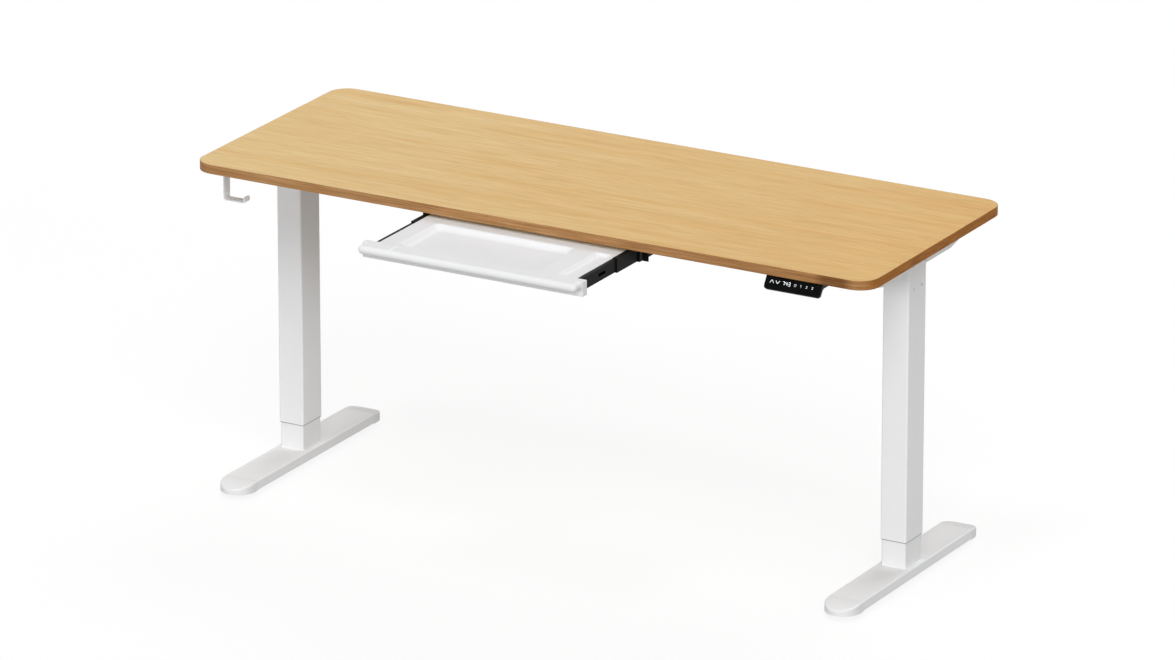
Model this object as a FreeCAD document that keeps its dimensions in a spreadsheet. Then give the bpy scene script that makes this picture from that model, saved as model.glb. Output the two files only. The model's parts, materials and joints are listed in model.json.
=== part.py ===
import FreeCAD, Part
import math
import os

import Sketcher

# Height adjustable standing desk: a one-piece top on two telescopic columns, with a drawer on
# ball-bearing slides, a keypad and a hook. Millimetres. +X is to the right of the person who sits
# at it, +Y is away from them, +Z is up. Z is 0 on the floor, and the columns are fully lowered.
# The drawer stands pulled out, with its front at TRAY_FRONT.

document = FreeCAD.newDocument("StandingDesk")
sheet = document.addObject("Spreadsheet::Sheet", "Sizes")
SHEET_ROWS = []
NODES = []


# ---------------------------------------------------------------------------------------------
# Driving dimensions
# ---------------------------------------------------------------------------------------------

class Size:
    """A length that keeps both its number and the spreadsheet expression that gives it."""

    def __init__(self, value, text):
        self.value = float(value)
        self.text = text

    def __add__(self, other):
        other = as_size(other)
        return Size(self.value + other.value, f"({self.text} + {other.text})")

    def __radd__(self, other):
        return as_size(other) + self

    def __sub__(self, other):
        other = as_size(other)
        return Size(self.value - other.value, f"({self.text} - {other.text})")

    def __rsub__(self, other):
        return as_size(other) - self

    def __mul__(self, factor):
        factor = as_size(factor)
        return Size(self.value * factor.value, f"({self.text} * {factor.text})")

    def __rmul__(self, factor):
        return self * factor

    def __truediv__(self, divisor):
        divisor = as_size(divisor)
        return Size(self.value / divisor.value, f"({self.text} / {divisor.text})")

    def __neg__(self):
        return Size(-self.value, f"(-1 * {self.text})")


def as_size(number):
    """A plain number as a Size; a Size as it is."""
    if isinstance(number, Size):
        return number
    return Size(number, f"{float(number):.6f}")


def cell(alias, value):
    """Write one driving dimension into the sheet and give it back as a Size."""
    row = len(SHEET_ROWS) + 1
    SHEET_ROWS.append(alias)
    sheet.set(f"A{row}", alias.replace("_", " "))
    sheet.set(f"B{row}", str(value))
    sheet.setAlias(f"B{row}", alias)
    return Size(value, f"Sizes.{alias}")


# The whole desk
DESK_SHIFT = cell("desk_shift", 119)
DESK_HEIGHT = cell("desk_height", 743)

# Top
TOP_LENGTH = cell("top_length", 1600)
TOP_DEPTH = cell("top_depth", 600)
TOP_THICKNESS = cell("top_thickness", 20)
TOP_CORNER = cell("top_corner", 45)
BAND_THICKNESS = cell("band_thickness", 1)
TOP_UNDERSIDE = DESK_HEIGHT - TOP_THICKNESS

# Columns
LEG_OFFSET = cell("leg_offset", 724)
OUTER_WIDTH = cell("outer_width", 60)
OUTER_DEPTH = cell("outer_depth", 77)
OUTER_WALL = cell("outer_wall", 1.2)
OUTER_CORNER = cell("outer_corner", 4)
OUTER_BOTTOM = cell("outer_bottom", 94)
OUTER_TOP = cell("outer_top", 719)
INNER_WIDTH = cell("inner_width", 56)
INNER_DEPTH = cell("inner_depth", 73)
INNER_WALL = cell("inner_wall", 1.5)
INNER_CORNER = cell("inner_corner", 3.5)
INNER_TOP = cell("inner_top", 620)
BASE_PLATE = cell("base_plate", 8)
RUNNING_GAP = cell("running_gap", 0.05)
GUIDE_HEIGHT = cell("guide_height", 44)
COLLAR_HEIGHT = cell("collar_height", 40)
COLLAR_LIP = cell("collar_lip", 2)
COLLAR_SETBACK = cell("collar_setback", 0.6)
GEARBOX_SCREW_Z = cell("gearbox_screw_height", 639)
GEARBOX_SCREW_Y = cell("gearbox_screw_offset", 18.3)
COLUMN_BOLT_Z = cell("column_bolt_height", 694)

# Drive
SPINDLE_RADIUS = cell("spindle_radius", 7)
SPINDLE_BOTTOM = cell("spindle_bottom", 130)
SPINDLE_STOP_RADIUS = cell("spindle_stop_radius", 11)
JOURNAL_RADIUS = cell("journal_radius", 5)
JOURNAL_LENGTH = cell("journal_length", 38)
NUT_HEIGHT = cell("nut_height", 34)
GEARBOX_BOTTOM = cell("gearbox_bottom", 628)
GEARBOX_TOP = cell("gearbox_top", 716)
SHAFT_HEIGHT = cell("shaft_height", 700)
SHAFT_FLATS = cell("shaft_flats", 8)
SHAFT_REACH = cell("shaft_reach", 14)
MOTOR_RADIUS = cell("motor_radius", 25)
MOTOR_LENGTH = cell("motor_length", 115)

# Side brackets and cross beam
BRACKET_HALF = cell("bracket_half_length", 235)
BRACKET_FULL_HALF = cell("bracket_full_half", 142)
BRACKET_DEPTH = cell("bracket_depth", 40)
BRACKET_END_DEPTH = cell("bracket_end_depth", 20)
BRACKET_WALL = cell("bracket_wall", 2)
BRACKET_WEB = cell("bracket_web", 2.5)
BRACKET_FIT = cell("bracket_fit", 0.2)
BEAM_Y = cell("beam_offset", 65)
BEAM_WIDTH = cell("beam_width", 40)
BEAM_HEIGHT = cell("beam_height", 25)
BEAM_WALL = cell("beam_wall", 1.5)
BEAM_TOP = cell("beam_top", 721)
BEAM_INNER_HALF = cell("beam_inner_half", 420)
BEAM_OUTER_START = cell("beam_outer_start", 300)
FLANGE_BOLT_Z = cell("flange_bolt_height", 690)
BOLT_RADIUS = cell("bolt_radius", 3)
FLANGE_THICKNESS = cell("flange_thickness", 3)

# Feet
FOOT_LENGTH = cell("foot_length", 480)
FOOT_WIDTH = cell("foot_width", 78)
FOOT_HEIGHT = cell("foot_height", 22.5)
FOOT_WALL = cell("foot_wall", 2)
FOOT_EDGE = cell("foot_edge", 3.5)
FOOT_BOTTOM = cell("foot_bottom", 13)
CAP_LENGTH = cell("cap_length", 52)
CAP_NOSE = cell("cap_nose", 11)
CAP_PLUG = cell("cap_plug", 12)
GLIDE_OFFSET = cell("glide_offset", 217)
GLIDE_RADIUS = cell("glide_radius", 19)
GLIDE_STUD = cell("glide_stud", 5)
FOOT_TOP = FOOT_BOTTOM + FOOT_HEIGHT

# Drawer
MIDDLE_OUT = cell("middle_member_out", 88)
TRAY_HALF = cell("tray_half_width", 232)
TRAY_FRONT = cell("tray_front", -494)
TRAY_DEPTH = cell("tray_depth", 235)
TRAY_TOP = cell("tray_top", 715)
TRAY_HEIGHT = cell("tray_height", 27)
TRAY_SKIN = cell("tray_skin", 2.2)
RECESS_DEPTH = cell("recess_depth", 12)
PEN_DEPTH = cell("pen_recess_depth", 8)
FRONT_HALF = cell("front_half_width", 259)
FRONT_TOP = cell("front_top", 718)
FRONT_HEIGHT = cell("front_height", 32)
FRONT_BODY = cell("front_body_depth", 16)
FRONT_REACH = cell("front_reach", 44)
FRONT_NOSE = cell("front_nose_height", 18)
SCOOP_HALF = cell("scoop_half_width", 186)
SCOOP_FRONT = cell("scoop_front", 33)

# Slides: the heights are those of the rolled sections, nested one inside the next
SLIDE_LENGTH = cell("slide_length", 235)
SLIDE_CENTRE = cell("slide_centre_height", 700.5)
SLIDE_FIXED_HEIGHT = cell("slide_fixed_height", 35)
SLIDE_MIDDLE_HEIGHT = cell("slide_middle_height", 31)
SLIDE_DRAWER_HEIGHT = cell("slide_drawer_height", 27)
SLIDE_THICKNESS = cell("slide_thickness", 12.7)
SLIDE_SHEET = cell("slide_sheet", 1.2)
HANGER_WIDTH = cell("hanger_width", 22)

# Keypad
KEYPAD_X = cell("keypad_offset", 627)
KEYPAD_WIDTH = cell("keypad_width", 128)
KEYPAD_LENGTH = cell("keypad_length", 30.5)
KEYPAD_SKIN = cell("keypad_skin", 2)
KEYPAD_CORNER = cell("keypad_corner", 7)
KEYPAD_Y = cell("keypad_depth", -301.4)
KEYPAD_Z = cell("keypad_height", 710)
KEY_WIDTH = cell("key_width", 11)
KEY_HEIGHT = cell("key_height", 12)

# Screws into the top, and where they sit
SCREW_RADIUS = cell("screw_radius", 2.5)
HANGER_SHEET = cell("hanger_sheet", 2)
HANGER_SCREW_X = cell("hanger_screw_offset", 256)
FIXED_FRONT = cell("fixed_slide_front", -254)
RECESS_LEFT = cell("recess_left", -192)
RECESS_RIGHT = cell("recess_right", 138)
RECESS_FRONT = cell("recess_front", 11)
RECESS_BACK = cell("recess_back", 169)
PEN_LEFT = cell("pen_recess_left", 186)
PEN_RIGHT = cell("pen_recess_right", 222)
KEY_GAP = cell("key_gap", 0.15)
KEY_ROW = cell("key_row", 1.8)
HANGER_SCREW_Y = (-235, -137, -40)
HOOK_SCREW_X = -22
HOOK_SCREW_Y = (-6, 6)
INLET_HALF = 14
BOX_SCREWS = [(x, y) for x in (-84, 84) for y in (-30, 30)]
KEYPAD_SCREW_X = (-50, 50)
KEYPAD_SCREW_Y = 45
KEYPAD_SCREW_SEAT = 2.5
FACE_TURN = 58.33

# Hook
HOOK_X = cell("hook_offset", -759)
HOOK_Y = cell("hook_depth", -229)
HOOK_WIDTH = cell("hook_width", 22)
HOOK_SHEET = cell("hook_sheet", 3)
HOOK_DROP = cell("hook_drop", 75.5)
HOOK_ARM = cell("hook_arm", 50)
HOOK_TIP = cell("hook_tip", 13)

# Control box
BOX_X = cell("box_offset", 430)
BOX_Y = cell("box_depth", 160)
BOX_LENGTH = cell("box_length", 180)
BOX_WIDTH = cell("box_width", 84)
BOX_HEIGHT = cell("box_height", 36)

document.recompute()


# ---------------------------------------------------------------------------------------------
# Helpers
# ---------------------------------------------------------------------------------------------

def bind(thing, path, size):
    """Tie one property of an object to the spreadsheet."""
    thing.setExpression(path, as_size(size).text)


def place(thing, x=0, y=0, z=0, axis=(0, 0, 1), turn=0):
    """Put a sub-part at (x, y, z) from the middle of the desk at floor level, turned if asked."""
    thing.Placement = FreeCAD.Placement(FreeCAD.Vector(),
                                        FreeCAD.Rotation(FreeCAD.Vector(*axis), turn))
    bind(thing, "Placement.Base.x", as_size(x))
    bind(thing, "Placement.Base.y", DESK_SHIFT + y)
    bind(thing, "Placement.Base.z", as_size(z))


def keep(thing, label):
    """Name a finished sub-part, which becomes one file."""
    thing.Label = label
    NODES.append(thing)
    return thing


def new_body(name):
    """An empty PartDesign body."""
    return document.addObject("PartDesign::Body", name)


def new_sketch(body, role, offset=0):
    """A sketch on one of the body's origin planes, moved along its normal by offset."""
    plane = [feature for feature in body.Origin.OriginFeatures if feature.Role == role][0]
    sketch = body.newObject("Sketcher::SketchObject", "Profile")
    sketch.AttachmentSupport = (plane, [""])
    sketch.MapMode = "FlatFace"
    bind(sketch, "AttachmentOffset.Base.z", offset)
    return sketch


def polygon(sketch, corners):
    """A closed outline through the corners; every coordinate is bound to the spreadsheet."""
    corners = [(as_size(a), as_size(b)) for a, b in corners]
    points = [FreeCAD.Vector(a.value, b.value, 0) for a, b in corners]
    lines = []
    for start, end in zip(points, points[1:] + points[:1]):
        lines.append(sketch.addGeometry(Part.LineSegment(start, end), False))
    for first, second in zip(lines, lines[1:] + lines[:1]):
        sketch.addConstraint(Sketcher.Constraint("Coincident", first, 2, second, 1))
    for line, corner in zip(lines, corners):
        for kind, size in zip(("DistanceX", "DistanceY"), corner):
            index = sketch.addConstraint(Sketcher.Constraint(kind, -1, 1, line, 1, size.value))
            sketch.renameConstraint(index, f"{kind}{line}")
            bind(sketch, f"Constraints.{kind}{line}", size)


def rectangle(sketch, x_low, x_high, y_low, y_high):
    """A rectangle given by its four sides."""
    polygon(sketch, [(x_low, y_low), (x_high, y_low), (x_high, y_high), (x_low, y_high)])


def circle(sketch, x, y, radius):
    """A circle whose centre and radius are bound to the spreadsheet."""
    x, y, radius = as_size(x), as_size(y), as_size(radius)
    centre = FreeCAD.Vector(x.value, y.value, 0)
    edge = sketch.addGeometry(Part.Circle(centre, FreeCAD.Vector(0, 0, 1), radius.value), False)
    for kind, size in (("DistanceX", x), ("DistanceY", y)):
        index = sketch.addConstraint(Sketcher.Constraint(kind, -1, 1, edge, 3, size.value))
        sketch.renameConstraint(index, f"Centre{kind}{edge}")
        bind(sketch, f"Constraints.Centre{kind}{edge}", size)
    index = sketch.addConstraint(Sketcher.Constraint("Radius", edge, radius.value))
    sketch.renameConstraint(index, f"Radius{edge}")
    bind(sketch, f"Constraints.Radius{edge}", radius)


def hexagon(sketch, x, y, corner):
    """A regular hexagon with its corners at the given distance from its centre."""
    x, y, corner = as_size(x), as_size(y), as_size(corner)
    turns = [math.radians(60 * n) for n in range(6)]
    polygon(sketch, [(x + corner * math.cos(turn), y + corner * math.sin(turn)) for turn in turns])


def pad(body, sketch, length, both_ways=False, backwards=False):
    """Extrude a sketch, to one side or evenly to both."""
    feature = body.newObject("PartDesign::Pad", "Pad")
    feature.Profile = sketch
    feature.Midplane = both_ways
    feature.Reversed = backwards
    bind(feature, "Length", length)
    document.recompute()
    return feature


def pocket(body, sketch, length, both_ways=False, backwards=False, taper=0):
    """Cut a sketch out of the body, and stop if that removes nothing."""
    before = body.Shape.Volume
    feature = body.newObject("PartDesign::Pocket", "Pocket")
    feature.Profile = sketch
    feature.Midplane = both_ways
    feature.Reversed = backwards
    feature.TaperAngle = taper
    bind(feature, "Length", length)
    document.recompute()
    if body.Shape.Volume > before - 0.01:
        raise RuntimeError(f"{body.Name}: a pocket cuts nothing")
    return feature


def revolve(body, sketch):
    """Turn a sketch a full turn about its own vertical axis."""
    feature = body.newObject("PartDesign::Revolution", "Revolution")
    feature.Profile = sketch
    feature.ReferenceAxis = (sketch, ["V_Axis"])
    feature.Angle = 360
    document.recompute()
    return feature


def edges_where(feature, test):
    """The names of the edges of a feature that pass a test."""
    return [f"Edge{n}" for n, edge in enumerate(feature.Shape.Edges, 1) if test(edge)]


def fillet(body, base, names, radius):
    """Round the named edges."""
    feature = body.newObject("PartDesign::Fillet", "Fillet")
    feature.Base = (base, names)
    bind(feature, "Radius", radius)
    document.recompute()
    return feature


def chamfer(body, base, names, size):
    """Bevel the named edges."""
    feature = body.newObject("PartDesign::Chamfer", "Chamfer")
    feature.Base = (base, names)
    bind(feature, "Size", size)
    document.recompute()
    return feature


def is_along(edge, axis):
    """Whether an edge is a straight line along axis 0, 1 or 2."""
    if not isinstance(edge.Curve, (Part.Line, Part.LineSegment)):
        return False
    direction = edge.tangentAt(edge.FirstParameter)
    return abs(abs(direction[axis]) - 1) < 1e-6


def near(value, size):
    """Whether a coordinate is a given size."""
    return abs(value - as_size(size).value) < 1e-3


def group(label, solids):
    """Several identical fasteners as one sub-part of separate solids."""
    feature = document.addObject("Part::Feature", label)
    feature.Shape = Part.makeCompound(solids)
    feature.Placement = FreeCAD.Placement(FreeCAD.Vector(0, DESK_SHIFT.value, 0),
                                          FreeCAD.Rotation())
    return keep(feature, label)


def screw(x, y, z, towards, shank, length, head, head_height):
    """A round-headed screw: its head sits at (x, y, z) and its shank runs along towards."""
    point = FreeCAD.Vector(x, y, z)
    axis = FreeCAD.Vector(*towards)
    body = Part.makeCylinder(shank, length, point, axis)
    cap = Part.makeCylinder(head, head_height, point - axis * head_height, axis)
    rim = [edge for edge in cap.Edges if near(edge.CenterOfMass.dot(axis),
                                              (point - axis * head_height).dot(axis))
           and isinstance(edge.Curve, Part.Circle)]
    cap = cap.makeChamfer(head_height * 0.35, rim)
    return body.fuse(cap).removeSplitter()


# ---------------------------------------------------------------------------------------------
# Top
# ---------------------------------------------------------------------------------------------

def rounded_slab(body, length, depth, corner, height):
    """A flat slab with rounded corners, centred, with its bottom at z = 0."""
    sketch = new_sketch(body, "XY_Plane")
    rectangle(sketch, -length / 2, length / 2, -depth / 2, depth / 2)
    slab = pad(body, sketch, height)
    return fillet(body, slab, edges_where(slab, lambda edge: is_along(edge, 2)), corner)


def desktop():
    """The board, smaller than the whole top by the edge band."""
    body = new_body("desktop")
    rounded_slab(body, TOP_LENGTH - 2 * BAND_THICKNESS, TOP_DEPTH - 2 * BAND_THICKNESS,
                 TOP_CORNER - BAND_THICKNESS, TOP_THICKNESS)
    place(body, 0, 0, TOP_UNDERSIDE)
    keep(body, "desktop")


def edge_band():
    """The band glued round the edge of the board."""
    body = new_body("edge_band_outside")
    slab = rounded_slab(body, TOP_LENGTH, TOP_DEPTH, TOP_CORNER, TOP_THICKNESS)
    eased = edges_where(slab, lambda edge: near(edge.BoundBox.ZMax, edge.BoundBox.ZMin))
    fillet(body, slab, eased, BAND_THICKNESS * 0.8)
    hole = new_body("edge_band_inside")
    rounded_slab(hole, TOP_LENGTH - 2 * BAND_THICKNESS, TOP_DEPTH - 2 * BAND_THICKNESS,
                 TOP_CORNER - BAND_THICKNESS, TOP_THICKNESS)
    ring = document.addObject("Part::Cut", "edge_band_ring")
    ring.Base = body
    ring.Tool = hole
    place(ring, 0, 0, TOP_UNDERSIDE)
    keep(ring, "edge_band")


# ---------------------------------------------------------------------------------------------
# Side brackets and cross beam
# ---------------------------------------------------------------------------------------------

BRACKET_SCREW_Y = (-215, -150, -85, 85, 150, 215)
COLUMN_BOLT_Y = (-26, 26)
FLANGE_BOLT_Y = (-15, 15)
BEAM_BOLT_X = (325, 395)


BRACKET_INNER_FACE = LEG_OFFSET - OUTER_WIDTH / 2 - BRACKET_FIT - BRACKET_WALL


def side_bracket(side, label):
    """A channel open downwards, folded from sheet, whose flanges get shallower to both ends."""
    half_outside = OUTER_WIDTH / 2 + BRACKET_FIT + BRACKET_WALL
    body = new_body(label)
    outline = new_sketch(body, "YZ_Plane")
    polygon(outline, [(-BRACKET_HALF, 0), (-BRACKET_HALF, -BRACKET_END_DEPTH),
                      (-BRACKET_FULL_HALF, -BRACKET_DEPTH), (BRACKET_FULL_HALF, -BRACKET_DEPTH),
                      (BRACKET_HALF, -BRACKET_END_DEPTH), (BRACKET_HALF, 0)])
    block = pad(body, outline, 2 * half_outside, both_ways=True)
    folds = edges_where(block, lambda edge: is_along(edge, 1) and near(edge.CenterOfMass.z, 0))
    fillet(body, block, folds, BRACKET_WALL)
    inside = new_sketch(body, "XZ_Plane")
    rectangle(inside, -(OUTER_WIDTH / 2 + BRACKET_FIT), OUTER_WIDTH / 2 + BRACKET_FIT,
              -BRACKET_DEPTH - 1, -BRACKET_WEB)
    pocket(body, inside, 2 * BRACKET_HALF + 2, both_ways=True)
    holes = new_sketch(body, "XY_Plane", -BRACKET_WEB - 1)
    for y in BRACKET_SCREW_Y:
        circle(holes, 0, y, 2.5)
    pocket(body, holes, BRACKET_WEB + 2, backwards=True)
    bolts = new_sketch(body, "YZ_Plane", -(half_outside + 1))
    for y in COLUMN_BOLT_Y:
        circle(bolts, y, COLUMN_BOLT_Z - TOP_UNDERSIDE, BOLT_RADIUS)
    pocket(body, bolts, 2 * half_outside + 2, backwards=True)
    shaft_way = new_sketch(body, "YZ_Plane")
    circle(shaft_way, 0, SHAFT_HEIGHT - TOP_UNDERSIDE, 8)
    for y in FLANGE_BOLT_Y:
        circle(shaft_way, BEAM_Y + y, FLANGE_BOLT_Z - TOP_UNDERSIDE, BOLT_RADIUS)
    pocket(body, shaft_way, half_outside + 1, backwards=side < 0)
    place(body, side * LEG_OFFSET, 0, TOP_UNDERSIDE)
    keep(body, label)


def beam_tube(body, x_low, x_high, width, height, wall):
    """A square-cut rectangular tube along X whose top is at z = 0."""
    sketch = new_sketch(body, "YZ_Plane", x_low)
    rectangle(sketch, -width / 2, width / 2, -height, 0)
    rectangle(sketch, -width / 2 + wall, width / 2 - wall, -height + wall, -wall)
    return pad(body, sketch, x_high - x_low)


def crossbeam():
    """A telescopic beam: a middle tube that slides into two end tubes with flanges."""
    body = new_body("crossbeam_middle")
    gap = BEAM_WALL + RUNNING_GAP
    beam_tube(body, -BEAM_INNER_HALF, BEAM_INNER_HALF, BEAM_WIDTH - 2 * gap, BEAM_HEIGHT - 2 * gap,
              BEAM_WALL)
    holes = new_sketch(body, "XY_Plane", -BEAM_HEIGHT)
    for x in BEAM_BOLT_X:
        circle(holes, x, 0, BOLT_RADIUS)
        circle(holes, -x, 0, BOLT_RADIUS)
    pocket(body, holes, BEAM_HEIGHT / 2, backwards=True)
    place(body, 0, BEAM_Y, BEAM_TOP - gap)
    keep(body, "crossbeam_middle")
    for side, label in ((-1, "crossbeam_left"), (1, "crossbeam_right")):
        body = new_body(label)
        low = BEAM_OUTER_START if side > 0 else -BRACKET_INNER_FACE
        high = BRACKET_INNER_FACE if side > 0 else -BEAM_OUTER_START
        beam_tube(body, low, high, BEAM_WIDTH, BEAM_HEIGHT, BEAM_WALL)
        start = BRACKET_INNER_FACE - FLANGE_THICKNESS if side > 0 else -BRACKET_INNER_FACE
        flange = new_sketch(body, "YZ_Plane", start)
        rectangle(flange, -BEAM_WIDTH / 2 - 2, BEAM_WIDTH / 2 + 2, -BEAM_HEIGHT - 12, 0)
        for y in FLANGE_BOLT_Y:
            circle(flange, y, FLANGE_BOLT_Z - BEAM_TOP, BOLT_RADIUS)
        pad(body, flange, FLANGE_THICKNESS)
        holes = new_sketch(body, "XY_Plane", -BEAM_HEIGHT - 1)
        for x in BEAM_BOLT_X:
            circle(holes, side * x, 0, BOLT_RADIUS)
        pocket(body, holes, BEAM_HEIGHT / 2, backwards=True)
        place(body, 0, BEAM_Y, BEAM_TOP)
        keep(body, label)


# ---------------------------------------------------------------------------------------------
# Columns
# ---------------------------------------------------------------------------------------------

def tube(body, width, depth, wall, corner, height):
    """An upright rectangular tube with rounded corners, inside and out."""
    sketch = new_sketch(body, "XY_Plane")
    rectangle(sketch, -width / 2, width / 2, -depth / 2, depth / 2)
    rectangle(sketch, -width / 2 + wall, width / 2 - wall, -depth / 2 + wall, depth / 2 - wall)
    shell = pad(body, sketch, height)
    outside = edges_where(shell, lambda edge: is_along(edge, 2)
                          and near(abs(edge.CenterOfMass.x), width / 2))
    shell = fillet(body, shell, outside, corner)
    inside = edges_where(shell, lambda edge: is_along(edge, 2)
                         and near(abs(edge.CenterOfMass.x), width / 2 - wall)
                         and near(abs(edge.CenterOfMass.y), depth / 2 - wall))
    return fillet(body, shell, inside, corner - wall)


def outer_tube(side, label):
    """The upper tube, with holes for the bracket bolts, the gearbox screws and the shaft."""
    body = new_body(label)
    tube(body, OUTER_WIDTH, OUTER_DEPTH, OUTER_WALL, OUTER_CORNER, OUTER_TOP - OUTER_BOTTOM)
    holes = new_sketch(body, "YZ_Plane", -OUTER_WIDTH / 2 - 1)
    for y in COLUMN_BOLT_Y:
        circle(holes, y, COLUMN_BOLT_Z - OUTER_BOTTOM, BOLT_RADIUS)
    for sign in (-1, 1):
        circle(holes, sign * GEARBOX_SCREW_Y, GEARBOX_SCREW_Z - OUTER_BOTTOM, 2)
    pocket(body, holes, OUTER_WIDTH + 2, backwards=True)
    shaft_way = new_sketch(body, "YZ_Plane")
    circle(shaft_way, 0, SHAFT_HEIGHT - OUTER_BOTTOM, 8)
    pocket(body, shaft_way, OUTER_WIDTH / 2 + 1, backwards=side < 0)
    place(body, side * LEG_OFFSET, 0, OUTER_BOTTOM)
    keep(body, label)


FOOT_BOLTS = [(x, y) for x in (-15, 15) for y in (-22, 22)]


def inner_tube(side, label):
    """The lower tube with the tapped plate welded into its bottom end."""
    body = new_body(label)
    tube(body, INNER_WIDTH, INNER_DEPTH, INNER_WALL, INNER_CORNER, INNER_TOP - FOOT_TOP)
    plate = new_sketch(body, "XY_Plane")
    rectangle(plate, -INNER_WIDTH / 2 + 1, INNER_WIDTH / 2 - 1,
              -INNER_DEPTH / 2 + 1, INNER_DEPTH / 2 - 1)
    pad(body, plate, BASE_PLATE)
    holes = new_sketch(body, "XY_Plane", -1)
    for x, y in FOOT_BOLTS:
        circle(holes, x, y, 4)
    pocket(body, holes, BASE_PLATE + 2, backwards=True)
    place(body, side * LEG_OFFSET, 0, FOOT_TOP)
    keep(body, label)


def guide_ring(side, label):
    """The plastic ring round the top of the inner tube that runs inside the outer tube."""
    body = new_body(label)
    play = OUTER_WALL + RUNNING_GAP
    width = OUTER_WIDTH - 2 * play
    depth = OUTER_DEPTH - 2 * play
    wall = (width - INNER_WIDTH) / 2
    tube(body, width, depth, wall, INNER_CORNER + wall, GUIDE_HEIGHT)
    place(body, side * LEG_OFFSET, 0, INNER_TOP - GUIDE_HEIGHT)
    keep(body, label)


def tube_collar(side, label):
    """The plastic liner in the mouth of the outer tube that the inner tube runs in, with a lip
    that the outer tube stands on."""
    body = new_body(label)
    width = OUTER_WIDTH - 2 * OUTER_WALL
    depth = OUTER_DEPTH - 2 * OUTER_WALL
    wall = (width - INNER_WIDTH) / 2 - RUNNING_GAP
    step = OUTER_WALL - COLLAR_SETBACK
    tube(body, width, depth, wall, OUTER_CORNER - OUTER_WALL, COLLAR_HEIGHT)
    lip = new_sketch(body, "XY_Plane")
    for half_x, half_y in ((width / 2 + step, depth / 2 + step),
                           (width / 2 - wall, depth / 2 - wall)):
        rectangle(lip, -half_x, half_x, -half_y, half_y)
    ring = pad(body, lip, COLLAR_LIP, backwards=True)
    corners = edges_where(ring, lambda edge: is_along(edge, 2) and edge.CenterOfMass.z < 0
                          and near(abs(edge.CenterOfMass.x), width / 2 + step))
    fillet(body, ring, corners, OUTER_CORNER - COLLAR_SETBACK)
    place(body, side * LEG_OFFSET, 0, OUTER_BOTTOM)
    keep(body, label)


def frame_bolts():
    """The sixteen equal bolts of the frame: through bracket and column, flange, and beam."""
    solids = []
    flange = (OUTER_WIDTH / 2 + BRACKET_FIT + BRACKET_WALL).value
    head_face = (BRACKET_INNER_FACE - FLANGE_THICKNESS).value
    under_beam = (BEAM_TOP - BEAM_HEIGHT).value
    for leg in (-1, 1):
        seats = []
        for y in COLUMN_BOLT_Y:
            for face in (-1, 1):
                seats.append(((leg * LEG_OFFSET.value + face * flange, y, COLUMN_BOLT_Z.value),
                              (-face, 0, 0)))
        for y in FLANGE_BOLT_Y:
            seats.append(((leg * head_face, BEAM_Y.value + y, FLANGE_BOLT_Z.value), (leg, 0, 0)))
        for x in BEAM_BOLT_X:
            seats.append(((leg * x, BEAM_Y.value, under_beam), (0, 0, 1)))
        for seat, towards in seats:
            solids.append(screw(*seat, towards, BOLT_RADIUS.value, 12, 5, 3.5))
    group("frame_bolts", solids)


def gearbox_screws():
    """The small screws in the sides of the columns that hold the gearboxes."""
    solids = []
    wall = (OUTER_WIDTH / 2).value
    for leg in (-1, 1):
        for face in (-1, 1):
            for side in (-1, 1):
                solids.append(screw(leg * LEG_OFFSET.value + face * wall,
                                    side * GEARBOX_SCREW_Y.value, GEARBOX_SCREW_Z.value,
                                    (-face, 0, 0), 2, 8, 2.9, 1.2))
    group("gearbox_screws", solids)


# ---------------------------------------------------------------------------------------------
# Drive
# ---------------------------------------------------------------------------------------------

def gearbox(side, label):
    """The cast housing in the top of the column that turns the shaft's motion down the spindle."""
    body = new_body(label)
    width = OUTER_WIDTH - 2 * OUTER_WALL - 2
    depth = OUTER_DEPTH - 2 * OUTER_WALL - 8
    sketch = new_sketch(body, "XY_Plane")
    rectangle(sketch, -width / 2, width / 2, -depth / 2, depth / 2)
    block = pad(body, sketch, GEARBOX_TOP - GEARBOX_BOTTOM)
    block = fillet(body, block, edges_where(block, lambda edge: is_along(edge, 2)), 6)
    spindle_bore = new_sketch(body, "XY_Plane")
    circle(spindle_bore, 0, 0, JOURNAL_RADIUS + RUNNING_GAP)
    pocket(body, spindle_bore, JOURNAL_LENGTH + 1, backwards=True)
    shaft_bore = new_sketch(body, "YZ_Plane", side * SHAFT_REACH)
    corner = SHAFT_FLATS / math.sqrt(3)
    circle(shaft_bore, 0, SHAFT_HEIGHT - GEARBOX_BOTTOM, corner + RUNNING_GAP)
    pocket(body, shaft_bore, OUTER_WIDTH, backwards=side < 0)
    screws = new_sketch(body, "YZ_Plane", -width / 2 - 1)
    for sign in (-1, 1):
        circle(screws, sign * GEARBOX_SCREW_Y, GEARBOX_SCREW_Z - GEARBOX_BOTTOM, 2)
    pocket(body, screws, width + 2, backwards=True)
    bolts = new_sketch(body, "YZ_Plane", -width / 2 - 1)
    for y in COLUMN_BOLT_Y:
        circle(bolts, y, COLUMN_BOLT_Z - GEARBOX_BOTTOM, BOLT_RADIUS)
    pocket(body, bolts, width + 2, backwards=True)
    place(body, side * LEG_OFFSET, 0, GEARBOX_BOTTOM)
    keep(body, label)


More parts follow.
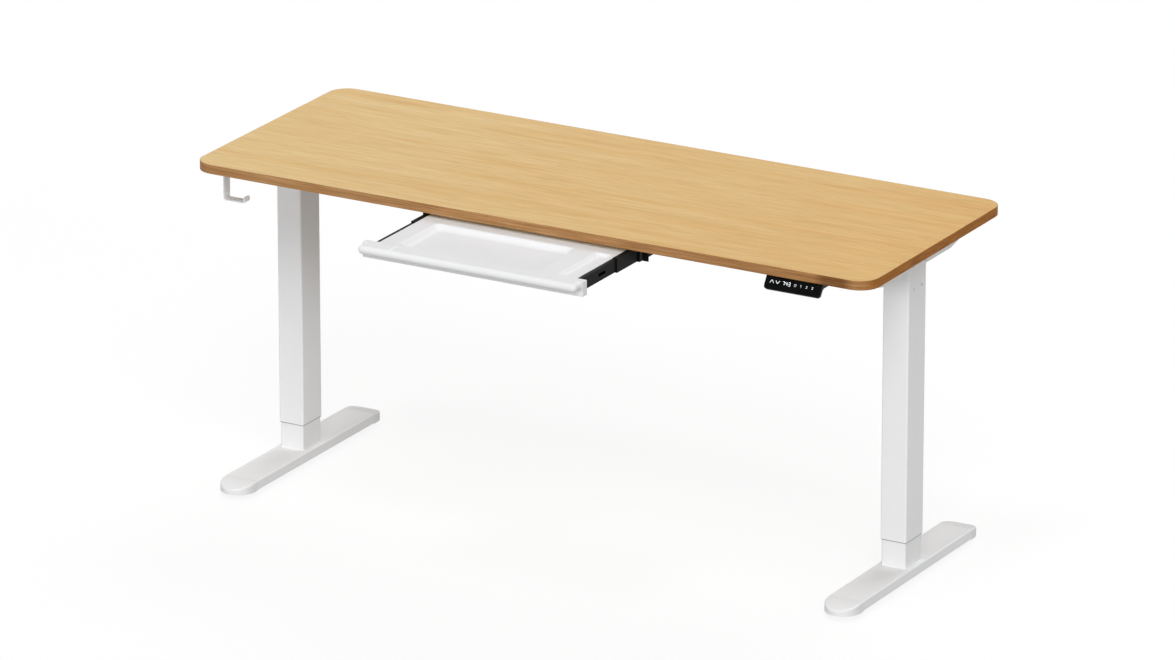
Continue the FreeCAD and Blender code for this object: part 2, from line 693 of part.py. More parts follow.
def spindle(side, label):
    """The lifting screw, with a journal at the top and a stop ring at the bottom."""
    body = new_body(label)
    sketch = new_sketch(body, "XZ_Plane")
    shoulder = GEARBOX_BOTTOM - 0.5
    top = GEARBOX_BOTTOM + JOURNAL_LENGTH
    polygon(sketch, [(0, SPINDLE_BOTTOM), (SPINDLE_STOP_RADIUS, SPINDLE_BOTTOM),
                     (SPINDLE_STOP_RADIUS, SPINDLE_BOTTOM + 10),
                     (SPINDLE_RADIUS, SPINDLE_BOTTOM + 10), (SPINDLE_RADIUS, shoulder),
                     (JOURNAL_RADIUS, shoulder), (JOURNAL_RADIUS, top), (0, top)])
    revolve(body, sketch)
    place(body, side * LEG_OFFSET, 0, 0)
    keep(body, label)


def spindle_nut(side, label):
    """The nut block pinned in the top of the inner tube, which climbs the spindle."""
    body = new_body(label)
    width = INNER_WIDTH - 2 * INNER_WALL
    depth = INNER_DEPTH - 2 * INNER_WALL
    sketch = new_sketch(body, "XY_Plane")
    rectangle(sketch, -width / 2, width / 2, -depth / 2, depth / 2)
    block = pad(body, sketch, NUT_HEIGHT)
    fillet(body, block, edges_where(block, lambda edge: is_along(edge, 2)),
           INNER_CORNER - INNER_WALL)
    bore = new_sketch(body, "XY_Plane", -1)
    circle(bore, 0, 0, SPINDLE_RADIUS + RUNNING_GAP)
    pocket(body, bore, NUT_HEIGHT + 2, backwards=True)
    windows = new_sketch(body, "XY_Plane", -1)
    for sign in (-1, 1):
        rectangle(windows, -width / 2 + 8, width / 2 - 8,
                  sign * depth / 4 - 5 + 5 * sign, sign * depth / 4 + 5 + 5 * sign)
    pocket(body, windows, NUT_HEIGHT + 2, backwards=True)
    place(body, side * LEG_OFFSET, 0, INNER_TOP - NUT_HEIGHT)
    keep(body, label)


def drive_shaft():
    """The hexagonal rod that keeps both columns in step."""
    body = new_body("drive_shaft")
    reach = LEG_OFFSET + SHAFT_REACH - 0.5
    sketch = new_sketch(body, "YZ_Plane", -reach)
    hexagon(sketch, 0, 0, SHAFT_FLATS / math.sqrt(3))
    pad(body, sketch, 2 * reach)
    place(body, 0, 0, SHAFT_HEIGHT)
    keep(body, "drive_shaft")


def motor():
    """The gear motor: a worm housing that the shaft runs through, and the motor can on it."""
    body = new_body("motor")
    housing = new_sketch(body, "XY_Plane", -24)
    rectangle(housing, -30, 30, -20, 20)
    block = pad(body, housing, 46)
    block = fillet(body, block, edges_where(block, lambda edge: is_along(edge, 2)), 6)
    can = new_sketch(body, "XZ_Plane", 19)
    circle(can, 0, -3, MOTOR_RADIUS)
    pad(body, can, MOTOR_LENGTH + 1)
    bearing = new_sketch(body, "XZ_Plane", 19)
    circle(bearing, 0, -3, 9)
    pad(body, bearing, MOTOR_LENGTH + 7)
    bore = new_sketch(body, "YZ_Plane", -31)
    circle(bore, 0, 0, SHAFT_FLATS / math.sqrt(3) + RUNNING_GAP)
    pocket(body, bore, 62, backwards=True)
    place(body, BRACKET_INNER_FACE - 30, 0, SHAFT_HEIGHT)
    keep(body, "motor")


# ---------------------------------------------------------------------------------------------
# Feet
# ---------------------------------------------------------------------------------------------

def foot(side, label):
    """A flat rectangular tube along Y with two weld nuts for the glides."""
    body = new_body(label)
    half = FOOT_WIDTH / 2
    sketch = new_sketch(body, "XZ_Plane")
    rectangle(sketch, -half, half, 0, FOOT_HEIGHT)
    rectangle(sketch, -half + FOOT_WALL, half - FOOT_WALL, FOOT_WALL, FOOT_HEIGHT - FOOT_WALL)
    shell = pad(body, sketch, FOOT_LENGTH, both_ways=True)
    outside = edges_where(shell, lambda edge: is_along(edge, 1)
                          and near(abs(edge.CenterOfMass.x), half))
    fillet(body, shell, outside, FOOT_EDGE)
    nuts = new_sketch(body, "XY_Plane", FOOT_WALL / 2)
    for sign in (-1, 1):
        circle(nuts, 0, sign * GLIDE_OFFSET, 9)
    pad(body, nuts, FOOT_WALL / 2 + 7)
    studs = new_sketch(body, "XY_Plane", -1)
    for sign in (-1, 1):
        circle(studs, 0, sign * GLIDE_OFFSET, GLIDE_STUD + RUNNING_GAP)
    pocket(body, studs, FOOT_HEIGHT - FOOT_WALL, backwards=True)
    bolts = new_sketch(body, "XY_Plane", -1)
    for x, y in FOOT_BOLTS:
        circle(bolts, x, y, 4)
    pocket(body, bolts, FOOT_HEIGHT + 2, backwards=True)
    place(body, side * LEG_OFFSET, 0, FOOT_BOTTOM)
    keep(body, label)


def foot_cap(side, end, label):
    """A moulded end cap: round in plan, with a top that curves down to a thin nose."""
    body = new_body(label)
    half = FOOT_WIDTH / 2
    start = FOOT_LENGTH / 2
    sketch = new_sketch(body, "XY_Plane")
    rectangle(sketch, -half, half, start, start + CAP_LENGTH)
    block = pad(body, sketch, FOOT_HEIGHT)
    round_end = edges_where(block, lambda edge: is_along(edge, 2)
                            and near(edge.CenterOfMass.y, start + CAP_LENGTH))
    block = fillet(body, block, round_end, half - 0.01)
    drop = FOOT_HEIGHT - CAP_NOSE
    radius = (CAP_LENGTH * CAP_LENGTH + drop * drop) / (2 * drop)
    slope = new_sketch(body, "YZ_Plane")
    sag = radius.value - math.sqrt(radius.value ** 2 - CAP_LENGTH.value ** 2)
    peak = FreeCAD.Vector(start.value, FOOT_HEIGHT.value, 0)
    nose = FreeCAD.Vector((start + CAP_LENGTH).value + 0.5, FOOT_HEIGHT.value - sag, 0)
    middle_y = start.value + CAP_LENGTH.value / 2
    middle_drop = radius.value - math.sqrt(radius.value ** 2 - (CAP_LENGTH.value / 2) ** 2)
    middle = FreeCAD.Vector(middle_y, FOOT_HEIGHT.value - middle_drop, 0)
    over = FreeCAD.Vector(nose.x, FOOT_HEIGHT.value + 1, 0)
    back = FreeCAD.Vector(start.value, FOOT_HEIGHT.value + 1, 0)
    slope.addGeometry(Part.Arc(peak, middle, nose), False)
    for first, second in ((nose, over), (over, back), (back, peak)):
        slope.addGeometry(Part.LineSegment(first, second), False)
    sloped = pocket(body, slope, FOOT_WIDTH + 4, both_ways=True)
    rim = edges_where(sloped, lambda edge: edge.CenterOfMass.z > CAP_NOSE.value - 2
                      and not is_along(edge, 2) and edge.CenterOfMass.y > start.value + 0.5)
    fillet(body, sloped, rim, 4)
    plug = new_sketch(body, "XY_Plane", FOOT_WALL + 0.3)
    rectangle(plug, -half + FOOT_WALL + 0.3, half - FOOT_WALL - 0.3, start - CAP_PLUG, start + 2)
    pad(body, plug, FOOT_HEIGHT - 2 * FOOT_WALL - 0.6)
    place(body, side * LEG_OFFSET, 0, FOOT_BOTTOM, turn=90 - end * 90)
    keep(body, label)


def glide(side, end, label):
    """A levelling glide: a wide foot pad, a lock nut and a threaded stud."""
    body = new_body(label)
    sketch = new_sketch(body, "XZ_Plane")
    stud_top = FOOT_BOTTOM + FOOT_HEIGHT - FOOT_WALL - 3
    polygon(sketch, [(0, 0), (GLIDE_RADIUS - 2, 0), (GLIDE_RADIUS, 2), (GLIDE_RADIUS, 5),
                     (GLIDE_RADIUS - 3, 7.5), (11, 8.5), (GLIDE_STUD, 8.5), (GLIDE_STUD, stud_top),
                     (0, stud_top)])
    revolve(body, sketch)
    nut = new_sketch(body, "XY_Plane", 8)
    hexagon(nut, 0, 0, 9.8)
    pad(body, nut, FOOT_BOTTOM - 0.4 - 8)
    place(body, side * LEG_OFFSET, end * GLIDE_OFFSET, 0)
    keep(body, label)


def foot_bolts(side, label):
    """Bolts from under the foot into the plate in the inner tube."""
    length = (FOOT_HEIGHT + BASE_PLATE).value
    solids = [screw(side * LEG_OFFSET.value + x, y, FOOT_BOTTOM.value, (0, 0, 1), 4, length, 6.5, 5)
              for x, y in FOOT_BOLTS]
    group(label, solids)


# ---------------------------------------------------------------------------------------------
# Hook and control box
# ---------------------------------------------------------------------------------------------

def hook():
    """A strip of sheet bent into a flange, a drop, an arm and a turned-up tip."""
    body = new_body("hook")
    half = HOOK_SHEET / 2
    sketch = new_sketch(body, "XZ_Plane")
    polygon(sketch, [(-36, 0), (-36, -HOOK_SHEET), (-half, -HOOK_SHEET), (-half, -HOOK_DROP),
                     (HOOK_ARM, -HOOK_DROP), (HOOK_ARM, -HOOK_DROP + HOOK_TIP),
                     (HOOK_ARM - HOOK_SHEET, -HOOK_DROP + HOOK_TIP),
                     (HOOK_ARM - HOOK_SHEET, -HOOK_DROP + HOOK_SHEET),
                     (half, -HOOK_DROP + HOOK_SHEET), (half, 0)])
    strip = pad(body, sketch, HOOK_WIDTH, both_ways=True)
    inner_bends = ((-half, -HOOK_SHEET), (HOOK_ARM - HOOK_SHEET, -HOOK_DROP + HOOK_SHEET),
                   (half, -HOOK_DROP + HOOK_SHEET))
    outer_bends = ((half, as_size(0)), (HOOK_ARM, -HOOK_DROP), (-half, -HOOK_DROP))
    for bends, radius in ((inner_bends, HOOK_SHEET * 0.8), (outer_bends, HOOK_SHEET * 1.8)):
        names = []
        for x, z in bends:
            names += edges_where(strip, lambda edge: is_along(edge, 1)
                                 and near(edge.CenterOfMass.x, x) and near(edge.CenterOfMass.z, z))
        strip = fillet(body, strip, names, radius)
    tip = edges_where(strip, lambda edge: is_along(edge, 0)
                      and near(edge.CenterOfMass.z, -HOOK_DROP + HOOK_TIP))
    fillet(body, strip, tip, 4)
    holes = new_sketch(body, "XY_Plane", -HOOK_SHEET - 1)
    for y in HOOK_SCREW_Y:
        circle(holes, HOOK_SCREW_X, y, SCREW_RADIUS)
    pocket(body, holes, HOOK_SHEET + 2, backwards=True)
    place(body, HOOK_X, HOOK_Y, TOP_UNDERSIDE)
    keep(body, "hook")


def control_box():
    """A plate screwed under the top, a drawn cover with rounded corners and a mains inlet."""
    plate = new_body("control_box_base")
    sketch = new_sketch(plate, "XY_Plane")
    rectangle(sketch, -BOX_LENGTH / 2, BOX_LENGTH / 2, -BOX_WIDTH / 2, BOX_WIDTH / 2)
    slab = pad(plate, sketch, 2)
    fillet(plate, slab, edges_where(slab, lambda edge: is_along(edge, 2)), 6)
    holes = new_sketch(plate, "XY_Plane", -1)
    for x, y in BOX_SCREWS:
        circle(holes, x, y, SCREW_RADIUS)
    pocket(plate, holes, 4, backwards=True)
    place(plate, BOX_X, BOX_Y, TOP_UNDERSIDE - 2)
    keep(plate, "control_box_base")
    cover = new_body("control_box_cover")
    length = BOX_LENGTH - 26
    sketch = new_sketch(cover, "XY_Plane")
    rectangle(sketch, -length / 2, length / 2, -BOX_WIDTH / 2, BOX_WIDTH / 2)
    block = pad(cover, sketch, BOX_HEIGHT)
    block = fillet(cover, block, edges_where(block, lambda edge: is_along(edge, 2)), 6)
    bottom = edges_where(block, lambda edge: near(edge.BoundBox.ZMax, 0))
    fillet(cover, block, bottom, 2.5)
    room = new_sketch(cover, "XY_Plane", 2)
    rectangle(room, -length / 2 + 2, length / 2 - 2, -BOX_WIDTH / 2 + 2, BOX_WIDTH / 2 - 2)
    pocket(cover, room, BOX_HEIGHT, backwards=True)
    inlet_way = new_sketch(cover, "XZ_Plane", -BOX_WIDTH / 2 - 1)
    rectangle(inlet_way, -INLET_HALF, INLET_HALF, 8, 28)
    pocket(cover, inlet_way, 4, backwards=True)
    place(cover, BOX_X, BOX_Y, TOP_UNDERSIDE - 2 - BOX_HEIGHT)
    keep(cover, "control_box_cover")
    inlet = new_body("power_inlet")
    sketch = new_sketch(inlet, "XZ_Plane", -BOX_WIDTH / 2 - 1.5)
    rectangle(sketch, -INLET_HALF, INLET_HALF, 8, 28)
    block = pad(inlet, sketch, 18)
    pins_room = new_sketch(inlet, "XZ_Plane", -BOX_WIDTH / 2 - 1.5)
    rectangle(pins_room, -INLET_HALF + 2.5, INLET_HALF - 2.5, 10.5, 25.5)
    pocket(inlet, pins_room, 13, backwards=True)
    pins = new_sketch(inlet, "XZ_Plane", -BOX_WIDTH / 2 + 15)
    for x, z in ((-7, 16), (0, 20), (7, 16)):
        rectangle(pins, as_size(x) - 1, as_size(x) + 1, as_size(z) - 2, as_size(z) + 2)
    pad(inlet, pins, 14, backwards=True)
    place(inlet, BOX_X, BOX_Y, TOP_UNDERSIDE - 2 - BOX_HEIGHT)
    keep(inlet, "power_inlet")


def wood_screws():
    """Equal screws into the underside of the top."""
    solids = []
    seats = [(side * LEG_OFFSET.value, y, BRACKET_WEB.value)
             for side in (-1, 1) for y in BRACKET_SCREW_Y]
    seats += [(side * HANGER_SCREW_X.value, y, HANGER_SHEET.value)
              for side in (-1, 1) for y in HANGER_SCREW_Y]
    seats += [(HOOK_X.value + HOOK_SCREW_X, HOOK_Y.value + y, HOOK_SHEET.value)
              for y in HOOK_SCREW_Y]
    seats += [(BOX_X.value + x, BOX_Y.value + y, 2) for x, y in BOX_SCREWS]
    seats += [(KEYPAD_X.value + x, KEYPAD_Y.value + KEYPAD_SCREW_Y, KEYPAD_SCREW_SEAT)
              for x in KEYPAD_SCREW_X]
    for x, y, depth in seats:
        solids.append(screw(x, y, TOP_UNDERSIDE.value - depth, (0, 0, 1), SCREW_RADIUS.value,
                            14, 4, 2.2))
    group("wood_screws", solids)


# ---------------------------------------------------------------------------------------------
# Drawer
# ---------------------------------------------------------------------------------------------

def tray_form(name, inset):
    """The tray as a solid block with its two recesses, all of it smaller by inset."""
    body = new_body(name)
    sketch = new_sketch(body, "XY_Plane")
    rectangle(sketch, -TRAY_HALF + inset, TRAY_HALF - inset, inset, TRAY_DEPTH - inset)
    top = TRAY_HEIGHT - inset
    block = pad(body, sketch, top)
    corners = edges_where(block, lambda edge: is_along(edge, 2)
                          and near(edge.CenterOfMass.y, TRAY_DEPTH - inset))
    fillet(body, block, corners, 8 - inset)
    for x_low, x_high, depth, taper, corner, cove in (
            (RECESS_LEFT, RECESS_RIGHT, RECESS_DEPTH, 38, 18, 13),
            (PEN_LEFT, PEN_RIGHT, PEN_DEPTH, 30, 10, 8)):
        draft = math.radians(taper)
        grow = inset * (1 / math.cos(draft) - math.tan(draft))
        low, high = x_low - grow, x_high + grow
        outline = new_sketch(body, "XY_Plane", top)
        rectangle(outline, low, high, RECESS_FRONT - grow, RECESS_BACK + grow)
        hollow = pocket(body, outline, depth, taper=-taper)
        run = depth.value * math.tan(draft)
        slanted = edges_where(hollow, lambda edge: abs(edge.BoundBox.ZLength - depth.value) < 0.1
                              and abs(edge.BoundBox.XLength - run) < 0.1
                              and low.value - 1 < edge.CenterOfMass.x < high.value + 1)
        hollow = fillet(body, hollow, slanted, inset + corner)
        floor_edges = edges_where(hollow, lambda edge: near(edge.BoundBox.ZMax, top - depth)
                                  and near(edge.BoundBox.ZMin, top - depth)
                                  and low.value < edge.CenterOfMass.x < high.value)
        hollow = fillet(body, hollow, floor_edges, inset + cove)
        rim = edges_where(hollow, lambda edge: near(edge.BoundBox.ZMin, top)
                          and low.value - 1 < edge.CenterOfMass.x < high.value + 1
                          and 5 < edge.CenterOfMass.y < TRAY_DEPTH.value - 30)
        fillet(body, hollow, rim, 5 - inset)
    return body


def tray():
    """The moulded tray: a thin skin with a main recess and a pen recess, open underneath."""
    skin = document.addObject("Part::Cut", "tray_skin")
    skin.Base = tray_form("tray_outside", as_size(0))
    skin.Tool = tray_form("tray_inside", TRAY_SKIN)
    place(skin, 0, TRAY_FRONT, TRAY_TOP - TRAY_HEIGHT)
    keep(skin, "tray")


def drawer_front():
    """The front: an apron with a long rounded nose, shallow finger scoop on top, hollow below."""
    body = new_body("drawer_front")
    nose_half = FRONT_HALF - 3
    sketch = new_sketch(body, "XY_Plane", -FRONT_NOSE)
    rectangle(sketch, -nose_half, nose_half, -FRONT_REACH, -4)
    nose = pad(body, sketch, FRONT_NOSE)
    corners = edges_where(nose, lambda edge: is_along(edge, 2)
                          and near(edge.CenterOfMass.y, -FRONT_REACH))
    nose = fillet(body, nose, corners, 9)
    rims = edges_where(nose, lambda edge: is_along(edge, 0)
                       and near(edge.CenterOfMass.y, -FRONT_REACH))
    fillet(body, nose, rims, FRONT_NOSE * 0.46)
    apron = new_sketch(body, "XY_Plane", -FRONT_HEIGHT)
    rectangle(apron, -FRONT_HALF, FRONT_HALF, -FRONT_BODY, 0)
    block = pad(body, apron, FRONT_HEIGHT)
    ends = edges_where(block, lambda edge: near(abs(edge.CenterOfMass.x), FRONT_HALF)
                       and edge.CenterOfMass.y < -0.5)
    fillet(body, block, ends, 1)
    scoop = new_sketch(body, "XY_Plane")
    rectangle(scoop, -SCOOP_HALF, SCOOP_HALF, -SCOOP_FRONT, 8)
    pocket(body, scoop, 1.4, taper=-72)
    creases = new_sketch(body, "XY_Plane")
    for low, high in ((6 - nose_half, -SCOOP_HALF - 2), (SCOOP_HALF + 2, nose_half - 6)):
        rectangle(creases, low, high, -SCOOP_FRONT - 0.6, -SCOOP_FRONT + 0.6)
    pocket(body, creases, 0.8)
    grip = new_sketch(body, "XY_Plane", -FRONT_NOSE)
    rectangle(grip, -FRONT_HALF + 12, FRONT_HALF - 12, -FRONT_REACH + 10, -FRONT_BODY - 3)
    pocket(body, grip, FRONT_NOSE - 6, backwards=True, taper=-4)
    room = new_sketch(body, "XY_Plane", -FRONT_HEIGHT)
    for low, high in ((-FRONT_HALF + 3, as_size(-88)), (as_size(-85), as_size(85)),
                      (as_size(88), FRONT_HALF - 3)):
        rectangle(room, low, high, -FRONT_BODY + 2.5, -3)
    pocket(body, room, FRONT_HEIGHT - 4.5, backwards=True)
    place(body, 0, TRAY_FRONT, FRONT_TOP)
    keep(body, "drawer_front")


def slide_member(label, side, outlines, face, front, slots):
    """A member of a drawer slide: a section extruded along Y, with slots through its outer face."""
    body = new_body(label)
    sketch = new_sketch(body, "XZ_Plane")
    for outline in outlines:
        polygon(sketch, [(side * as_size(x), z) for x, z in outline])
    pad(body, sketch, SLIDE_LENGTH, backwards=True)
    holes = new_sketch(body, "YZ_Plane", side * face - side * 2)
    for y, length, height in slots:
        rectangle(holes, as_size(y), as_size(y) + length, -as_size(height) / 2,
                  as_size(height) / 2)
    pocket(body, holes, SLIDE_SHEET + 2, backwards=side > 0)
    place(body, side * TRAY_HALF, front, SLIDE_CENTRE)
    keep(body, label)


def channel(low, high, half):
    """A C outline from x = low to a web at x = high, open towards low."""
    inner_half = half - SLIDE_SHEET
    return [(low, half), (low, inner_half), (high - SLIDE_SHEET, inner_half),
            (high - SLIDE_SHEET, -inner_half), (low, -inner_half), (low, -half), (high, -half),
            (high, half)]


def slides():
    """Telescopic slides: a fixed and a middle channel, and a drawer rail, each inside the next."""
    full = SLIDE_THICKNESS
    rail_half = SLIDE_DRAWER_HEIGHT / 2
    rail_depth = as_size(8.5)
    rail = [[(low, z_low), (high, z_low), (high, z_high), (low, z_high)]
            for low, high, z_low, z_high in (
                (as_size(0), rail_depth, -rail_half, rail_half),
                (SLIDE_SHEET, rail_depth - SLIDE_SHEET, SLIDE_SHEET - rail_half,
                 rail_half - SLIDE_SHEET))]
    fixed = channel(as_size(2), full, SLIDE_FIXED_HEIGHT / 2)
    middle = channel(as_size(1), full - 1.7, SLIDE_MIDDLE_HEIGHT / 2)
    for side, word in ((-1, "left"), (1, "right")):
        slide_member(f"slide_fixed_{word}", side, [fixed], full, FIXED_FRONT,
                     [(30, 12, 5), (120, 12, 5), (200, 12, 5)])
        slide_member(f"slide_middle_{word}", side, [middle], full - 1.7,
                     FIXED_FRONT - MIDDLE_OUT, [(106, 20, 8), (180, 20, 8)])
        slide_member(f"slide_inner_{word}", side, rail, rail_depth, TRAY_FRONT,
                     [(10, 26, 6), (80, 28, 7), (190, 12, 6)])


def hangers():
    """Black brackets that hang the slides under the top, folded as an inverted U."""
    for side, word in ((-1, "left"), (1, "right")):
        body = new_body(f"drawer_hanger_{word}")
        low = as_size(0)
        sketch = new_sketch(body, "XZ_Plane")
        drop = TOP_UNDERSIDE - SLIDE_CENTRE + SLIDE_FIXED_HEIGHT / 2
        polygon(sketch, [(side * x, z) for x, z in (
            (low, as_size(0)), (low, -drop), (HANGER_SHEET, -drop), (HANGER_SHEET, -HANGER_SHEET),
            (HANGER_WIDTH - HANGER_SHEET, -HANGER_SHEET),
            (HANGER_WIDTH - HANGER_SHEET, as_size(-25)), (HANGER_WIDTH, as_size(-25)),
            (HANGER_WIDTH, as_size(0)))])
        pad(body, sketch, SLIDE_LENGTH, backwards=True)
        tab = new_sketch(body, "XZ_Plane")
        rectangle(tab, side * (HANGER_WIDTH - 14), side * HANGER_WIDTH, -36, 0)
        pad(body, tab, HANGER_SHEET, backwards=True)
        holes = new_sketch(body, "XY_Plane", -HANGER_SHEET - 1)
        for y in HANGER_SCREW_Y:
            circle(holes, side * (HANGER_SCREW_X - TRAY_HALF - SLIDE_THICKNESS), y - FIXED_FRONT,
                   SCREW_RADIUS)
        pocket(body, holes, HANGER_SHEET + 2, backwards=True)
        place(body, side * (TRAY_HALF + SLIDE_THICKNESS), FIXED_FRONT, TOP_UNDERSIDE)
        keep(body, f"drawer_hanger_{word}")


# ---------------------------------------------------------------------------------------------
# Keypad
# ---------------------------------------------------------------------------------------------

KEYS = (("key_up", -48.5), ("key_down", -35.5), ("key_memory", 4.6),
        ("key_1", 17.6), ("key_2", 30.6), ("key_3", 43.6))


def on_face(sketch, depth):
    """Lay a sketch of the keypad's housing parallel to the sloping face, this deep behind it."""
    sketch.AttachmentOffset = FreeCAD.Placement(FreeCAD.Vector(), FreeCAD.Rotation(
        FreeCAD.Vector(1, 0, 0), FACE_TURN))
    bind(sketch, "AttachmentOffset.Base.y", depth * math.sin(math.radians(FACE_TURN)))
    bind(sketch, "AttachmentOffset.Base.z", depth * -math.cos(math.radians(FACE_TURN)))


def keypad_housing():
    """A rounded front plate on a wedge with a flat box behind; the plate is hollow for the keys."""
    body = new_body("keypad_housing")
    along = math.cos(math.radians(FACE_TURN)), math.sin(math.radians(FACE_TURN))
    half = KEYPAD_LENGTH / 2
    skin_y = KEYPAD_SKIN * along[1]
    skin_z = KEYPAD_SKIN * along[0]
    roof = TOP_UNDERSIDE - KEYPAD_Z
    front = new_sketch(body, "XY_Plane")
    on_face(front, KEYPAD_SKIN)
    rectangle(front, -KEYPAD_WIDTH / 2, KEYPAD_WIDTH / 2, -half, half)
    plate = pad(body, front, 5, backwards=True)
    low = edges_where(plate, lambda edge: edge.BoundBox.XLength < 0.01 and near(edge.Length, 5)
                      and edge.CenterOfMass.z < 0)
    fillet(body, plate, low, KEYPAD_CORNER)
    sketch = new_sketch(body, "YZ_Plane")
    polygon(sketch, [(roof * (along[0] / along[1]) + KEYPAD_SKIN / along[1], roof),
                     ((1 - half) * along[0] + skin_y, (1 - half) * along[1] - skin_z),
                     (-half * along[0] + skin_y + 4.5, -half * along[1] - skin_z - 1.5),
                     (18, -3), (59, -3), (59, roof)])
    block = pad(body, sketch, KEYPAD_WIDTH - 8, both_ways=True)
    corners = edges_where(block, lambda edge: is_along(edge, 1) and edge.CenterOfMass.y > 20
                          and near(edge.CenterOfMass.z, -3))
    block = fillet(body, block, corners, 2.5)
    hollow = new_sketch(body, "XY_Plane")
    on_face(hollow, as_size(0))
    rectangle(hollow, -KEYPAD_WIDTH / 2 + 6, KEYPAD_WIDTH / 2 - 6, -half + 6, half - 5)
    pocket(body, hollow, 6.5)
    holes = new_sketch(body, "XY_Plane", -4)
    for x in KEYPAD_SCREW_X:
        circle(holes, x, KEYPAD_SCREW_Y, 4.4)
    pocket(body, holes, roof + 4 - KEYPAD_SCREW_SEAT, backwards=True)
    shanks = new_sketch(body, "XY_Plane", -4)
    for x in KEYPAD_SCREW_X:
        circle(shanks, x, KEYPAD_SCREW_Y, SCREW_RADIUS)
    pocket(body, shanks, roof + 6, backwards=True)
    place(body, KEYPAD_X, KEYPAD_Y, KEYPAD_Z)
    keep(body, "keypad_housing")


def keypad_face():
    """The glossy face, with a window for each key."""
    body = new_body("keypad_face")
    half = KEYPAD_LENGTH / 2
    sketch = new_sketch(body, "XY_Plane", -KEYPAD_SKIN)
    rectangle(sketch, -KEYPAD_WIDTH / 2, KEYPAD_WIDTH / 2, -half, half)
    plate = pad(body, sketch, KEYPAD_SKIN)
    low = edges_where(plate, lambda edge: is_along(edge, 2) and near(edge.CenterOfMass.y, -half))
    plate = fillet(body, plate, low, KEYPAD_CORNER)
    windows = new_sketch(body, "XY_Plane", 1)
    for label, x in KEYS:
        rectangle(windows, as_size(x) - KEY_WIDTH / 2 - KEY_GAP, as_size(x) + KEY_WIDTH / 2 + KEY_GAP,
                  KEY_ROW - KEY_HEIGHT / 2 - KEY_GAP, KEY_ROW + KEY_HEIGHT / 2 + KEY_GAP)
    pocket(body, windows, KEYPAD_SKIN + 2)
    place(body, KEYPAD_X, KEYPAD_Y, KEYPAD_Z, (1, 0, 0), FACE_TURN)
    keep(body, "keypad_face")


def keys():
    """Flush keys with a wider foot behind the face that keeps them in."""
    for label, x in KEYS:
        body = new_body(label)
        cap = new_sketch(body, "XY_Plane", -3.2)
        rectangle(cap, as_size(x) - KEY_WIDTH / 2, as_size(x) + KEY_WIDTH / 2,
                  KEY_ROW - KEY_HEIGHT / 2, KEY_ROW + KEY_HEIGHT / 2)
        pad(body, cap, 3.2)
        foot_plate = new_sketch(body, "XY_Plane", -4.2)
        rectangle(foot_plate, as_size(x) - KEY_WIDTH / 2 - 0.6, as_size(x) + KEY_WIDTH / 2 + 0.6,
                  KEY_ROW - KEY_HEIGHT / 2 - 0.6, KEY_ROW + KEY_HEIGHT / 2 + 0.6)
        pad(body, foot_plate, 1.9)
        place(body, KEYPAD_X, KEYPAD_Y, KEYPAD_Z, (1, 0, 0), FACE_TURN)
        keep(body, label)


# ---------------------------------------------------------------------------------------------
# Assembly
# ---------------------------------------------------------------------------------------------

desktop()
edge_band()
crossbeam()
frame_bolts()
gearbox_screws()
drive_shaft()
motor()
for leg, word in ((-1, "left"), (1, "right")):
    side_bracket(leg, f"side_bracket_{word}")
    outer_tube(leg, f"outer_tube_{word}")
    inner_tube(leg, f"inner_tube_{word}")
    guide_ring(leg, f"guide_ring_{word}")
    tube_collar(leg, f"tube_collar_{word}")
    gearbox(leg, f"gearbox_{word}")
    spindle(leg, f"spindle_{word}")
    spindle_nut(leg, f"spindle_nut_{word}")
    foot(leg, f"foot_{word}")
    foot_bolts(leg, f"foot_bolts_{word}")
    for end, place_word in ((-1, "front"), (1, "rear")):
        foot_cap(leg, end, f"foot_cap_{word}_{place_word}")
        glide(leg, end, f"glide_{word}_{place_word}")
hook()
control_box()
wood_screws()
tray()
drawer_front()
slides()
hangers()
keypad_housing()
keypad_face()
keys()
document.recompute()

for thing in document.Objects:
    if "Invalid" in thing.State or "Error" in thing.State:
        raise RuntimeError(f"{thing.Label} did not recompute: {thing.State}")
for node in NODES:
    if node.Shape.isNull() or not node.Shape.isValid():
        raise RuntimeError(f"{node.Label} has no valid shape")

os.makedirs("parts", exist_ok=True)
for node in NODES:
    node.Shape.exportStep(f"parts/{node.Label}.step")
print(len(NODES), "nodes written")
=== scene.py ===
import json
import math

import bpy
import numpy as np
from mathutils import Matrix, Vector

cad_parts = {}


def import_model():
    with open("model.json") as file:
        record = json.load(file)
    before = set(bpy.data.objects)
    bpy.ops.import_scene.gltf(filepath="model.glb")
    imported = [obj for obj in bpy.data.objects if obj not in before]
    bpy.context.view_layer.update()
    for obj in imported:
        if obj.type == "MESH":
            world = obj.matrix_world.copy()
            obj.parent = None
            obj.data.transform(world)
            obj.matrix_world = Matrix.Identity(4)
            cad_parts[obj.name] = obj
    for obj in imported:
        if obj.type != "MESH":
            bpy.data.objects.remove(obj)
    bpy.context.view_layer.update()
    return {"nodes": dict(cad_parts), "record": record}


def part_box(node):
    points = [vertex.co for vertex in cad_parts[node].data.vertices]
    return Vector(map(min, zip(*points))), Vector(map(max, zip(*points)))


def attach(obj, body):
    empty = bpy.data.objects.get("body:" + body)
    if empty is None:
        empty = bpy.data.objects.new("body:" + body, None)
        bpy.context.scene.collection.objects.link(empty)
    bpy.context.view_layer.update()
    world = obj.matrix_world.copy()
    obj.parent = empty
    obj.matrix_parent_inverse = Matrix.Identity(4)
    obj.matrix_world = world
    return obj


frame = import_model()

# A height adjustable desk: oak-look top with a darker edge, white powder-coated legs, a white
# moulded drawer on black slides, and a glossy black keypad. Lengths are in metres.
# +X is to the right of the person at the desk, +Y away from them, +Z up.


HALF_TOP = 0.8


# ---------------------------------------------------------------------------------------------
# Materials
# ---------------------------------------------------------------------------------------------

